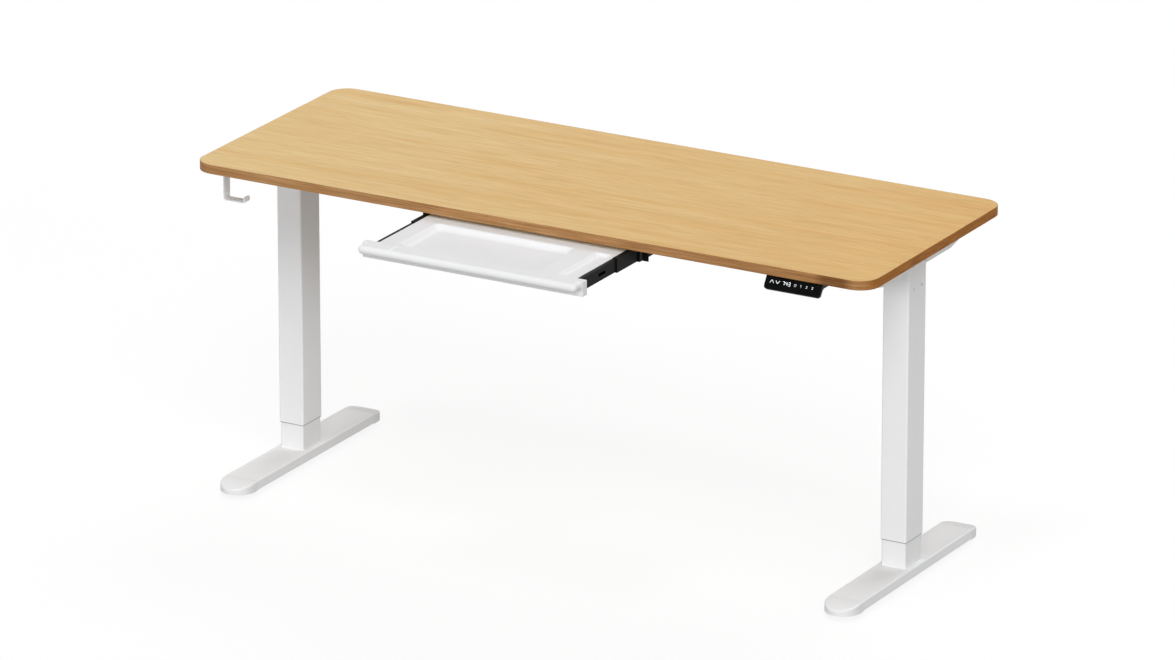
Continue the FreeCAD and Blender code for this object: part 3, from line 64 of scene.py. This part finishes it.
def linear(red, green, blue):
    """An 8-bit sRGB colour as a linear one: each channel over 255, through the sRGB curve."""
    channels = np.array([red, green, blue]) / 255.0
    low, high = channels / 12.92, ((channels + 0.055) / 1.055) ** 2.4
    return tuple(float(v) for v in np.where(channels <= 0.04045, low, high)) + (1.0,)


class Finish:
    """A material under construction: its tree, its shader, and short ways to add nodes."""

    def __init__(self, name, roughness, metallic=0.0, level=0.5):
        self.material = bpy.data.materials.new(name)
        self.material.use_nodes = True
        self.tree = self.material.node_tree
        self.shader = self.tree.nodes["Principled BSDF"]
        self.set("Roughness", roughness)
        self.set("Metallic", metallic)
        self.set("Specular IOR Level", level)
        self.place = self.add("ShaderNodeTexCoord").outputs["Object"]

    def set(self, socket, value):
        self.shader.inputs[socket].default_value = value

    def add(self, kind, **settings):
        node = self.tree.nodes.new(kind)
        for key, value in settings.items():
            setattr(node, key, value)
        return node

    def link(self, output, node, socket):
        self.tree.links.new(output, node.inputs[socket])

    def stretched(self, scale, shift=(0, 0, 0)):
        """Object coordinates, scaled per axis and then shifted."""
        mapping = self.add("ShaderNodeMapping")
        mapping.inputs["Scale"].default_value = scale
        mapping.inputs["Location"].default_value = shift
        self.link(self.place, mapping, "Vector")
        return mapping.outputs["Vector"]

    def along(self, axis, low, high):
        """0 up to the coordinate low along an axis, 1 from high on, and even between them."""
        split = self.add("ShaderNodeSeparateXYZ")
        self.link(self.place, split, "Vector")
        node = self.add("ShaderNodeMapRange")
        node.inputs["From Min"].default_value = low
        node.inputs["From Max"].default_value = high
        self.link(split.outputs[axis], node, "Value")
        return node.outputs["Result"]

    def noise(self, vector, scale, detail=3.0, roughness=0.5, distortion=0.0):
        """Fractal noise, from 0 to 1, of the given vector."""
        node = self.add("ShaderNodeTexNoise")
        for key, value in (("Scale", scale), ("Detail", detail), ("Roughness", roughness),
                           ("Distortion", distortion)):
            node.inputs[key].default_value = value
        self.link(vector, node, "Vector")
        return node.outputs["Fac"]

    def ramp(self, factor, *stops):
        """A colour ramp with (position, colour) stops."""
        node = self.add("ShaderNodeValToRGB")
        elements = node.color_ramp.elements
        while len(elements) < len(stops):
            elements.new(0.5)
        for element, (position, colour) in zip(elements, stops):
            element.position = position
            element.color = colour
        self.link(factor, node, "Fac")
        return node.outputs["Color"]

    def mix(self, factor, first, second, blend="MIX"):
        """Two colours mixed; either may be a plain colour, and the factor a plain number."""
        node = self.add("ShaderNodeMix", data_type="RGBA", blend_type=blend)
        for socket, value in (("Factor", factor), ("A", first), ("B", second)):
            target = [s for s in node.inputs if s.name == socket
                      and s.type == ("VALUE" if socket == "Factor" else "RGBA")][0]
            if isinstance(value, bpy.types.NodeSocket):
                self.tree.links.new(value, target)
            else:
                target.default_value = value
        return [s for s in node.outputs if s.type == "RGBA"][0]

    def spread(self, factor, low, high):
        """A 0 to 1 factor mapped to the range low to high."""
        node = self.add("ShaderNodeMapRange")
        node.inputs["To Min"].default_value = low
        node.inputs["To Max"].default_value = high
        self.link(factor, node, "Value")
        return node.outputs["Result"]

    def colour(self, output):
        """Let a colour output drive the surface's colour."""
        self.link(output, self.shader, "Base Color")

    def roughness(self, output):
        """Let a number output drive the surface's roughness."""
        self.link(output, self.shader, "Roughness")

    def bump(self, height, strength, distance):
        """Fine relief of a height output, of at most distance metres."""
        node = self.add("ShaderNodeBump")
        node.inputs["Strength"].default_value = strength
        node.inputs["Distance"].default_value = distance
        self.link(height, node, "Height")
        self.link(node.outputs["Normal"], self.shader, "Normal")


def oak_veneer():
    """Pale straight-grained veneer: fine streaks along X, broader bands, and short darker ticks,
    a little redder towards the right end."""
    f = Finish("oak_veneer", 0.48, level=0.3)
    bands = f.noise(f.stretched((1.4, 9.0, 9.0)), 2.2, detail=4.0, roughness=0.6, distortion=0.4)
    warm = f.noise(f.stretched((1.1, 26.0, 26.0), shift=(3.1, 1.7, 0)), 2.0, detail=4.0)
    streaks = f.noise(f.stretched((2.6, 60.0, 60.0)), 3.0, detail=5.0, roughness=0.65)
    ticks = f.noise(f.stretched((8.0, 220.0, 220.0)), 3.0, detail=2.0, roughness=0.5)
    base = f.ramp(bands, (0.30, linear(220, 181, 111)), (0.50, linear(228, 195, 131)),
                  (0.72, linear(234, 206, 148)))
    fine = f.ramp(streaks, (0.34, linear(211, 169, 99)), (0.52, linear(228, 195, 132)),
                  (0.70, linear(239, 212, 156)))
    wood = f.mix(0.5, base, fine)
    orange = f.ramp(warm, (0.50, (1, 1, 1, 1)), (0.68, (0.97, 0.85, 0.66, 1)))
    wood = f.mix(0.7, wood, orange, "MULTIPLY")
    dark = f.ramp(ticks, (0.28, (0.80, 0.70, 0.56, 1)), (0.44, (1, 1, 1, 1)))
    wood = f.mix(0.6, wood, dark, "MULTIPLY")
    redder = f.ramp(f.along("X", -0.5, HALF_TOP), (0.0, (0.93, 0.92, 0.93, 1)),
                    (1.0, (0.89, 0.785, 0.62, 1)))
    f.colour(f.mix(1.0, wood, redder, "MULTIPLY"))
    f.roughness(f.spread(streaks, 0.42, 0.54))
    f.bump(ticks, 0.08, 0.0004)
    return f.material


def oak_edge():
    """The edge band: a warmer brown with streaks along the board, with painted shade just before
    the right corners and a painted darker, redder shade on the right side."""
    f = Finish("oak_edge", 0.55, level=0.06)
    streaks = f.noise(f.stretched((2.5, 6.0, 210.0)), 3.0, detail=4.0, roughness=0.6)
    patches = f.noise(f.stretched((5.0, 5.0, 60.0)), 3.0, detail=3.0)
    brown = f.ramp(streaks, (0.32, linear(140, 97, 58)), (0.50, linear(171, 128, 84)),
                   (0.68, linear(192, 149, 106)))
    cloudy = f.ramp(patches, (0.35, (0.86, 0.80, 0.74, 1)), (0.60, (1, 1, 1, 1)))
    brown = f.mix(0.7, brown, cloudy, "MULTIPLY")
    # Painted shade: a dark band where the front edge turns into the right corners, and the right
    # end's side darker and redder, standing in for the shade that falls there.
    dark = (0.50, 0.42, 0.34, 1)
    darker = f.ramp(f.along("X", 0.0, HALF_TOP), (0.0, (1, 1, 1, 1)), (0.84, (0.93, 0.88, 0.80, 1)),
                    (0.87, dark), (0.925, dark), (0.955, (1, 0.97, 0.92, 1)),
                    (0.98, (0.98, 0.90, 0.75, 1)), (1.0, (0.895, 0.664, 0.316, 1)))
    f.colour(f.mix(1.0, brown, darker, "MULTIPLY"))
    f.roughness(f.spread(streaks, 0.44, 0.58))
    f.bump(streaks, 0.06, 0.0003)
    return f.material


def powder_coat(name, colour, roughness=0.5, level=0.4):
    """Powder-coated steel: an even colour with a fine orange-peel surface."""
    f = Finish(name, roughness, level=level)
    peel = f.noise(f.stretched((1, 1, 1)), 900.0, detail=2.0)
    cloud = f.noise(f.stretched((1, 1, 1)), 6.0, detail=2.0)
    darker = tuple(0.965 * v for v in colour[:3]) + (1.0,)
    f.colour(f.ramp(cloud, (0.3, darker), (0.7, colour)))
    f.roughness(f.spread(peel, roughness - 0.05, roughness + 0.06))
    f.bump(peel, 0.05, 0.0002)
    return f.material


def moulded(name, colour, roughness=0.42, grain=1400.0):
    """Injection-moulded plastic with a very fine texture."""
    f = Finish(name, roughness, level=0.28)
    spark = f.noise(f.stretched((1, 1, 1)), grain, detail=1.0)
    cloud = f.noise(f.stretched((1, 1, 1)), 9.0, detail=2.0)
    darker = tuple(0.97 * v for v in colour[:3]) + (1.0,)
    f.colour(f.ramp(cloud, (0.3, darker), (0.7, colour)))
    f.roughness(f.spread(spark, roughness - 0.06, roughness + 0.06))
    f.bump(spark, 0.04, 0.0002)
    return f.material


def glossy_black():
    """The keypad's polished face."""
    f = Finish("glossy_black", 0.25, level=0.03)
    haze = f.noise(f.stretched((1, 1, 1)), 60.0, detail=3.0)
    f.colour(f.ramp(haze, (0.3, linear(9, 9, 10)), (0.7, linear(15, 15, 16))))
    f.roughness(f.spread(haze, 0.2, 0.3))
    return f.material


def zinc_plate():
    """Plated steel for screws, shaft and spindles."""
    f = Finish("zinc_plate", 0.35, metallic=1.0)
    wear = f.noise(f.stretched((1, 1, 1)), 120.0, detail=4.0)
    f.colour(f.ramp(wear, (0.3, linear(150, 151, 154)), (0.7, linear(196, 197, 200))))
    f.roughness(f.spread(wear, 0.26, 0.42))
    return f.material


def cast_metal():
    """Sand-blasted die casting of the gear housings."""
    f = Finish("cast_metal", 0.6, metallic=0.9)
    pits = f.noise(f.stretched((1, 1, 1)), 500.0, detail=3.0)
    f.colour(f.ramp(pits, (0.3, linear(112, 113, 116)), (0.7, linear(138, 139, 142))))
    f.bump(pits, 0.2, 0.0004)
    return f.material


def rubber():
    """Black rubber of the levelling glides."""
    f = Finish("rubber", 0.75, level=0.3)
    dust = f.noise(f.stretched((1, 1, 1)), 40.0, detail=5.0)
    f.colour(f.ramp(dust, (0.35, linear(24, 24, 25)), (0.75, linear(40, 40, 41))))
    f.bump(dust, 0.1, 0.0004)
    return f.material


def lit(name, colour, strength):
    """A display segment or key symbol that glows softly."""
    f = Finish(name, 0.4)
    glow = f.noise(f.stretched((1, 1, 1)), 300.0, detail=1.0)
    dimmer = tuple(0.85 * v for v in colour[:3]) + (1.0,)
    shade = f.ramp(glow, (0.3, dimmer), (0.7, colour))
    f.colour(shade)
    f.link(shade, f.shader, "Emission Color")
    f.set("Emission Strength", strength)
    return f.material


WHITE = linear(238, 238, 239)
OAK = oak_veneer()
EDGE = oak_edge()
COAT = powder_coat("white_powder_coat", WHITE)
PLASTIC = moulded("white_plastic", linear(233, 233, 234), 0.5)
# The guide collars are mid grey: painted shade for the dark line where the outer tube ends over the
# inner one.
GUIDES_PAINTED_SHADE = moulded("guide_plastic", linear(165, 165, 163))
DARK_PLASTIC = moulded("dark_plastic", linear(38, 38, 40))
BLACK_COAT = powder_coat("black_coat", linear(11, 11, 12), 0.5, 0.08)
BLACK_PLASTIC = moulded("black_plastic", linear(26, 26, 28), 0.5)
ZINC = zinc_plate()
CASTING = cast_metal()
RUBBER = rubber()
GLOSS = glossy_black()
INK = lit("key_print", linear(225, 230, 232), 0.5)
DISPLAY = lit("display_light", linear(232, 240, 243), 1.0)

SLOT_FINISH = {"oak_board": OAK, "edge_band": EDGE, "white_steel": COAT, "white_plastic": PLASTIC,
               "guide_plastic": GUIDES_PAINTED_SHADE, "steel": ZINC, "nut_plastic": DARK_PLASTIC,
               "cast_housing": CASTING, "black_steel": BLACK_COAT, "glide_rubber": RUBBER,
               "black_plastic": BLACK_PLASTIC, "black_gloss": GLOSS}


def dress(piece, material):
    """Give every slot of an object one material."""
    if not piece.material_slots:
        piece.data.materials.append(material)
    for slot in piece.material_slots:
        slot.material = material


for entry in frame["record"]["subparts"]:
    dress(frame["nodes"][entry["node"]], SLOT_FINISH[entry["material_slot"]])


# ---------------------------------------------------------------------------------------------
# Print on the keypad
# ---------------------------------------------------------------------------------------------

FACE_TURN = math.radians(58.33)
FACE_HALF_THICKNESS = 0.001
FACE_RIGHT = np.array([1.0, 0.0, 0.0])
FACE_UP = np.array([0.0, math.cos(FACE_TURN), math.sin(FACE_TURN)])
FACE_OUT = np.array([0.0, -math.sin(FACE_TURN), math.cos(FACE_TURN)])
FACE_MIDDLE = np.mean([np.array(corner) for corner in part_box("keypad_face")], axis=0)
FACE_MIDDLE += FACE_OUT * FACE_HALF_THICKNESS
INK_LOW, INK_HIGH = 0.00002, 0.00014  # heights of the print's underside and top over the face


def ribbon(line, width):
    """A bar of even width along a polyline (u, v) on the sloping face. Each point p gives the four
    points p -+ m w / 2 at the heights low and high above the face, where w is the width and
    m = (n0 + n1) / (1 + n0 . n1) the mitre of the normals n0 and n1 of the lines that meet in p.
    A line that ends where it starts becomes a closed ring. Gives the points and the faces."""
    line = np.array(line, float)
    closed = np.allclose(line[0], line[-1])
    line = line[:-1] if closed else line
    count = len(line)
    step = np.roll(line, -1, axis=0) - line
    step = step if closed else np.concatenate([step[:-1], step[-2:-1]])
    along = step / np.linalg.norm(step, axis=1, keepdims=True)
    normal = np.stack([-along[:, 1], along[:, 0]], axis=1)
    before = np.roll(normal, 1, axis=0)
    before = before if closed else np.concatenate([normal[:1], before[1:]])
    mitre = (before + normal) / (1 + (before * normal).sum(axis=1, keepdims=True))
    sides = np.array([-0.5, 0.5, 0.5, -0.5])[None, :, None] * width
    flat = line[:, None, :] + mitre[:, None, :] * sides
    heights = np.array([INK_LOW, INK_LOW, INK_HIGH, INK_HIGH])[None, :, None]
    points = (FACE_MIDDLE + flat[..., :1] * FACE_RIGHT + flat[..., 1:] * FACE_UP
              + heights * FACE_OUT).reshape(-1, 3)
    here = np.arange(count if closed else count - 1)[:, None] * 4
    corner = np.arange(4)[None, :]
    after = (here + 4) % (4 * count)
    turned = (corner + 1) % 4
    quads = np.stack([here + corner, here + turned, after + turned, after + corner], axis=-1)
    quads = quads.reshape(-1, 4)
    if not closed:
        last = 4 * (count - 1)
        quads = np.concatenate([quads, [[3, 2, 1, 0], [last, last + 1, last + 2, last + 3]]])
    return points, quads


def print_on_face(name, lines, width, material, body):
    """Several ribbons as one piece that moves with a body."""
    parts = [ribbon(line, width) for line in lines]
    starts = np.cumsum([0] + [len(points) for points, _ in parts[:-1]])
    points = np.concatenate([points for points, _ in parts])
    quads = np.concatenate([quads + start for (_, quads), start in zip(parts, starts)])
    mesh = bpy.data.meshes.new(name)
    mesh.from_pydata(points.tolist(), [], quads.tolist())
    piece = bpy.data.objects.new(name, mesh)
    bpy.context.scene.collection.objects.link(piece)
    dress(piece, material)
    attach(piece, body)


# The bars of a digit, as lines between the corners of a unit box, and those that each digit lights
BARS = {"a": ((-1, 1), (1, 1)), "b": ((1, 1), (1, 0)), "c": ((1, 0), (1, -1)),
        "d": ((-1, -1), (1, -1)), "e": ((-1, 0), (-1, -1)), "f": ((-1, 1), (-1, 0)),
        "g": ((-1, 0), (1, 0))}
LIT_BARS = {3: "abgcd", 4: "fgbc", 7: "abc"}
DIGIT_HALF = np.array([0.0020, 0.0037])
DISPLAY_DIGITS = (7, 4, 3)
DISPLAY_MIDDLE, DIGIT_PITCH = -0.0153, 0.0066
BAR_WIDTH, BAR_GAP = 0.0009, 0.00045


def digit_lines(digit, x, y):
    """The bars of one digit round (x, y), each shortened by a gap g at both ends: the ends a and b
    become a + g t and b - g t, with t the unit vector from a to b."""
    ends = np.array([BARS[bar] for bar in LIT_BARS[digit]]) * DIGIT_HALF + np.array([x, y])
    step = ends[:, 1] - ends[:, 0]
    gap = BAR_GAP * step / np.linalg.norm(step, axis=1, keepdims=True)
    return list(np.stack([ends[:, 0] + gap, ends[:, 1] - gap], axis=1))


# Where the keys sit on the face, and what is printed on each, in metres
ROW = 0.0018
KEYS = {"key_up": -0.0485, "key_down": -0.0355, "key_memory": 0.0046,
        "key_1": 0.0176, "key_2": 0.0306, "key_3": 0.0436}
CIRCLE = np.linspace(0, 2 * math.pi, 33)
RING = 0.0024 * np.stack([np.cos(CIRCLE), np.sin(CIRCLE)], axis=1)
MARKS = {
    "key_up": [[(-0.0046, -0.0030), (0, 0.0030), (0.0046, -0.0030)]],
    "key_down": [[(-0.0046, 0.0030), (0, -0.0030), (0.0046, 0.0030)]],
    "key_memory": [RING, [(-0.0005, 0), (0.0005, 0)]],
    "key_1": [[(-0.0009, 0.0015), (0.0003, 0.0024), (0.0003, -0.0024)]],
    "key_2": [[(-0.0014, 0.0013), (-0.0008, 0.0023), (0.0007, 0.0023), (0.0014, 0.0013),
               (0.0012, 0.0002), (-0.0012, -0.0022), (0.0015, -0.0022)]],
    "key_3": [[(-0.0013, 0.0018), (-0.0006, 0.0024), (0.0008, 0.0024), (0.0013, 0.0014),
               (0.0008, 0.0004), (-0.0002, 0.0002), (0.0008, 0), (0.0014, -0.0009),
               (0.0009, -0.0022), (-0.0005, -0.0025), (-0.0014, -0.0017)]]}
ARROW_WIDTH, NUMERAL_WIDTH = 0.0011, 0.0006
LINE_WIDTH = {"key_up": ARROW_WIDTH, "key_down": ARROW_WIDTH}


def keypad_print():
    """Arrows, numerals and the store symbol on the keys, and digits behind the face."""
    for key, lines in MARKS.items():
        middle = np.array([KEYS[key], ROW])
        print_on_face(f"{key}_print", [np.array(line) + middle for line in lines],
                      LINE_WIDTH.get(key, NUMERAL_WIDTH), INK, key)
    digits = []
    for place, digit in enumerate(DISPLAY_DIGITS):
        digits += digit_lines(digit, DISPLAY_MIDDLE + (place - 1) * DIGIT_PITCH, ROW)
    print_on_face("display_digits", digits, BAR_WIDTH, DISPLAY, "top")


keypad_print()


# ---------------------------------------------------------------------------------------------
# Floor, light and camera
# ---------------------------------------------------------------------------------------------

def seen_or_lit(tree, seen, lit):
    """One value for rays from the camera, mirrors and glass, and another for rays that light."""
    path = tree.nodes.new("ShaderNodeLightPath")
    total = path.outputs["Is Camera Ray"]
    for name in ("Is Glossy Ray", "Is Transmission Ray"):
        larger = tree.nodes.new("ShaderNodeMath")
        larger.operation = "MAXIMUM"
        tree.links.new(total, larger.inputs[0])
        tree.links.new(path.outputs[name], larger.inputs[1])
        total = larger.outputs[0]
    choice = tree.nodes.new("ShaderNodeMapRange")
    choice.inputs["To Min"].default_value = lit
    choice.inputs["To Max"].default_value = seen
    tree.links.new(total, choice.inputs["Value"])
    return choice.outputs["Result"]


def floor():
    """A pale floor that looks white except where the desk shades it, and lights the desk softly."""
    mesh = bpy.data.meshes.new("floor")
    side = 40.0
    mesh.from_pydata([(-side, -side, 0), (side, -side, 0), (side, side, 0), (-side, side, 0)],
                     [], [(0, 1, 2, 3)])
    piece = bpy.data.objects.new("floor", mesh)
    bpy.context.scene.collection.objects.link(piece)
    material = bpy.data.materials.new("floor_paint")
    material.use_nodes = True
    tree = material.node_tree
    shader = tree.nodes["Principled BSDF"]
    shader.inputs["Base Color"].default_value = (0.15, 0.15, 0.15, 1)
    shader.inputs["Roughness"].default_value = 0.9
    shader.inputs["Specular IOR Level"].default_value = 0.0
    shader.inputs["Emission Color"].default_value = (1, 1, 1, 1)
    tree.links.new(seen_or_lit(tree, 0.86, 0.27), shader.inputs["Emission Strength"])
    piece.data.materials.append(material)


def world():
    """A faint even light, white where the camera or a mirror sees it."""
    sky = bpy.data.worlds.new("studio")
    bpy.context.scene.world = sky
    sky.use_nodes = True
    tree = sky.node_tree
    background = tree.nodes["Background"]
    background.inputs["Color"].default_value = (1, 1, 1, 1)
    tree.links.new(seen_or_lit(tree, 1.0, 0.2), background.inputs["Strength"])


def direction(azimuth, elevation):
    """The unit vector (sin a cos e, -cos a cos e, sin e), where a is the azimuth in degrees from
    the front towards the right and e the elevation."""
    a, e = math.radians(azimuth), math.radians(elevation)
    return Vector((math.sin(a) * math.cos(e), -math.cos(a) * math.cos(e), math.sin(e)))


def lamp(name, azimuth, elevation, strength, angle):
    """A sun lamp in a direction. A face square to it gets the light strength, and the angle in
    degrees is how wide its disc is."""
    light = bpy.data.lights.new(name, "SUN")
    light.energy = strength * math.pi
    light.angle = math.radians(angle)
    piece = bpy.data.objects.new(name, light)
    bpy.context.scene.collection.objects.link(piece)
    piece.rotation_euler = (-direction(azimuth, elevation)).to_track_quat("-Z", "Y").to_euler()


def camera(azimuth, elevation, distance, target, lens):
    """A long lens looking down at a target point from the desk's front right."""
    data = bpy.data.cameras.new("camera")
    data.sensor_width = 36.0
    data.lens = lens
    data.clip_end = 100.0
    piece = bpy.data.objects.new("camera", data)
    bpy.context.scene.collection.objects.link(piece)
    back = direction(azimuth, elevation)
    piece.location = Vector(target) + back * distance
    piece.rotation_euler = (-back).to_track_quat("-Z", "Y").to_euler()
    bpy.context.scene.camera = piece


floor()
world()
lamp("key_light", 35, 45, 0.40, 30)
lamp("top_light", -20, 75, 0.17, 15)
lamp("front_light", -20, 8, 0.275, 15)
lamp("side_light", 60, 15, 0.24, 20)
lamp("back_light", 180, 50, 0.25, 30)
camera(azimuth=29.5636, elevation=19.1813, distance=18.669, target=(-0.01984, 0.119, 0.41381),
       lens=274.05)
bpy.context.scene.view_settings.view_transform = "Standard"
